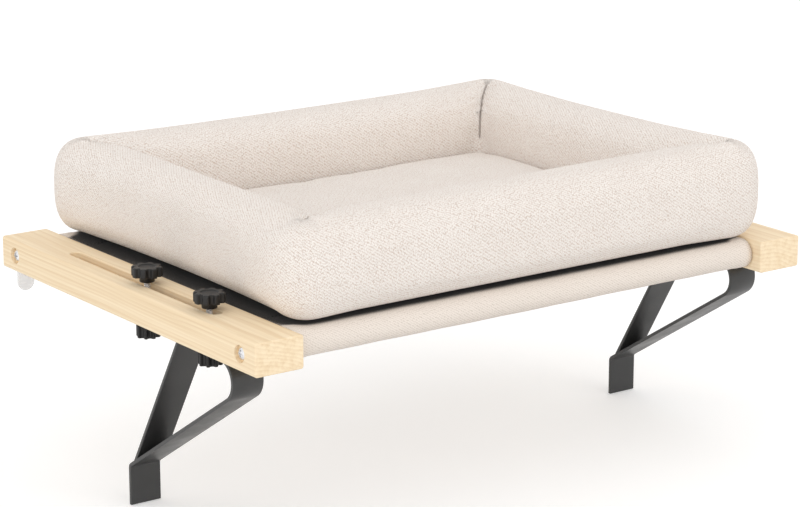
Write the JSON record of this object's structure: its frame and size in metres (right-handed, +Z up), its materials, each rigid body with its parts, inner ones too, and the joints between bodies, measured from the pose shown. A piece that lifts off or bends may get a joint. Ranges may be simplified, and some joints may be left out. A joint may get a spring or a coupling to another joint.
{
  "type": "window sill pet perch",
  "caption": "Pet perch that rests on a window sill: wooden rails, a fabric sling, braced metal brackets clamped by star knobs, and a bolster cushion.",
  "frame": {"origin": "midway between the two rails and midway along them, on the plane of their undersides", "axes": "+X to the right across the perch, seen from the room; +Y towards the window and wall; +Z up"},
  "size_m": [0.613, 0.4441, 0.2989],
  "materials": {
    "rail_pine": "sanded pale pine, bare",
    "rod_beech": "turned pale hardwood, bare",
    "sling_canvas": "fine cotton twill",
    "cushion_cover": "soft diagonal weave",
    "bracket_steel": "satin dark grey powder coat",
    "knob_plastic": "moulded, matt black",
    "screw_steel": "zinc plated",
    "insert_brass": "plain",
    "clear_tab": "clear, slightly cloudy"
  },
  "bodies": {
    "frame": {"rail_left": "rail_pine", "rail_right": "rail_pine", "rod_front": "rod_beech", "rod_rear": "rod_beech", "rod_inserts": "insert_brass", "rod_screws": "screw_steel", "sling": "sling_canvas", "tab_screws": "screw_steel"},
    "cushion": {"cushion_bolster": "cushion_cover", "cushion_pad": "cushion_cover"},
    "bracket_left": {"strap_left": "bracket_steel", "leg_left": "bracket_steel"},
    "tab_left": {"tab_left": "clear_tab"},
    "stud_left_front": {"stud_left_front": "screw_steel"},
    "knob_left_front": {"knob_left_front": "knob_plastic"},
    "lower_knob_left_front": {"lower_knob_left_front": "knob_plastic", "knob_nut_left_front": "screw_steel"},
    "stud_left_rear": {"stud_left_rear": "screw_steel"},
    "knob_left_rear": {"knob_left_rear": "knob_plastic"},
    "lower_knob_left_rear": {"lower_knob_left_rear": "knob_plastic", "knob_nut_left_rear": "screw_steel"},
    "bracket_right": {"strap_right": "bracket_steel", "leg_right": "bracket_steel"},
    "tab_right": {"tab_right": "clear_tab"},
    "stud_right_front": {"stud_right_front": "screw_steel"},
    "knob_right_front": {"knob_right_front": "knob_plastic"},
    "lower_knob_right_front": {"lower_knob_right_front": "knob_plastic", "knob_nut_right_front": "screw_steel"},
    "stud_right_rear": {"stud_right_rear": "screw_steel"},
    "knob_right_rear": {"knob_right_rear": "knob_plastic"},
    "lower_knob_right_rear": {"lower_knob_right_rear": "knob_plastic", "knob_nut_right_rear": "screw_steel"}
  },
  "joints": [
    {"name": "cushion_lift", "type": "slide", "parent": "frame", "child": "cushion", "axis": [0, 0, 1], "range_m": [0, 0.15]},
    {"name": "bracket_left_slide", "type": "slide", "parent": "frame", "child": "bracket_left", "axis": [0, 1, 0], "range_m": [-0.0122, 0.1292]},
    {"name": "tab_left_swing", "type": "hinge", "parent": "frame", "child": "tab_left", "pos_m": [-0.28225, 0.2209, 0.014], "axis": [0, 1, 0], "continuous": true},
    {"name": "stud_left_front_travel", "type": "slide", "parent": "bracket_left", "child": "stud_left_front", "axis": [0, 0, 1], "range_m": [-0.00171, 0.00601]},
    {"name": "knob_left_front_turn", "type": "hinge", "parent": "stud_left_front", "child": "knob_left_front", "pos_m": [-0.28225, -0.1105, 0.032], "axis": [0, 0, 1], "range_deg": [-612, 2160]},
    {"name": "lower_knob_left_front_turn", "type": "hinge", "parent": "bracket_left", "child": "lower_knob_left_front", "pos_m": [-0.28225, -0.1105, -0.0032], "axis": [0, 0, 1], "continuous": true},
    {"name": "stud_left_rear_travel", "type": "slide", "parent": "bracket_left", "child": "stud_left_rear", "axis": [0, 0, 1], "range_m": [-0.00171, 0.00601]},
    {"name": "knob_left_rear_turn", "type": "hinge", "parent": "stud_left_rear", "child": "knob_left_rear", "pos_m": [-0.28225, -0.0065, 0.032], "axis": [0, 0, 1], "range_deg": [-612, 2160]},
    {"name": "lower_knob_left_rear_turn", "type": "hinge", "parent": "bracket_left", "child": "lower_knob_left_rear", "pos_m": [-0.28225, -0.0065, -0.0032], "axis": [0, 0, 1], "continuous": true},
    {"name": "bracket_right_slide", "type": "slide", "parent": "frame", "child": "bracket_right", "axis": [0, 1, 0], "range_m": [-0.0122, 0.1292]},
    {"name": "tab_right_swing", "type": "hinge", "parent": "frame", "child": "tab_right", "pos_m": [0.28225, 0.2209, 0.014], "axis": [0, 1, 0], "continuous": true},
    {"name": "stud_right_front_travel", "type": "slide", "parent": "bracket_right", "child": "stud_right_front", "axis": [0, 0, 1], "range_m": [-0.00171, 0.00601]},
    {"name": "knob_right_front_turn", "type": "hinge", "parent": "stud_right_front", "child": "knob_right_front", "pos_m": [0.28225, -0.1105, 0.032], "axis": [0, 0, 1], "range_deg": [-612, 2160]},
    {"name": "lower_knob_right_front_turn", "type": "hinge", "parent": "bracket_right", "child": "lower_knob_right_front", "pos_m": [0.28225, -0.1105, -0.0032], "axis": [0, 0, 1], "continuous": true},
    {"name": "stud_right_rear_travel", "type": "slide", "parent": "bracket_right", "child": "stud_right_rear", "axis": [0, 0, 1], "range_m": [-0.00171, 0.00601]},
    {"name": "knob_right_rear_turn", "type": "hinge", "parent": "stud_right_rear", "child": "knob_right_rear", "pos_m": [0.28225, -0.0065, 0.032], "axis": [0, 0, 1], "range_deg": [-612, 2160]},
    {"name": "lower_knob_right_rear_turn", "type": "hinge", "parent": "bracket_right", "child": "lower_knob_right_rear", "pos_m": [0.28225, -0.0065, -0.0032], "axis": [0, 0, 1], "continuous": true}
  ],
  "couplings": [
    {"joint": "stud_left_front_travel", "follows": "knob_left_front_turn", "m_per_rad": 0.00015915},
    {"joint": "stud_left_rear_travel", "follows": "knob_left_rear_turn", "m_per_rad": 0.00015915},
    {"joint": "stud_right_front_travel", "follows": "knob_right_front_turn", "m_per_rad": 0.00015915},
    {"joint": "stud_right_rear_travel", "follows": "knob_right_rear_turn", "m_per_rad": 0.00015915}
  ]
}
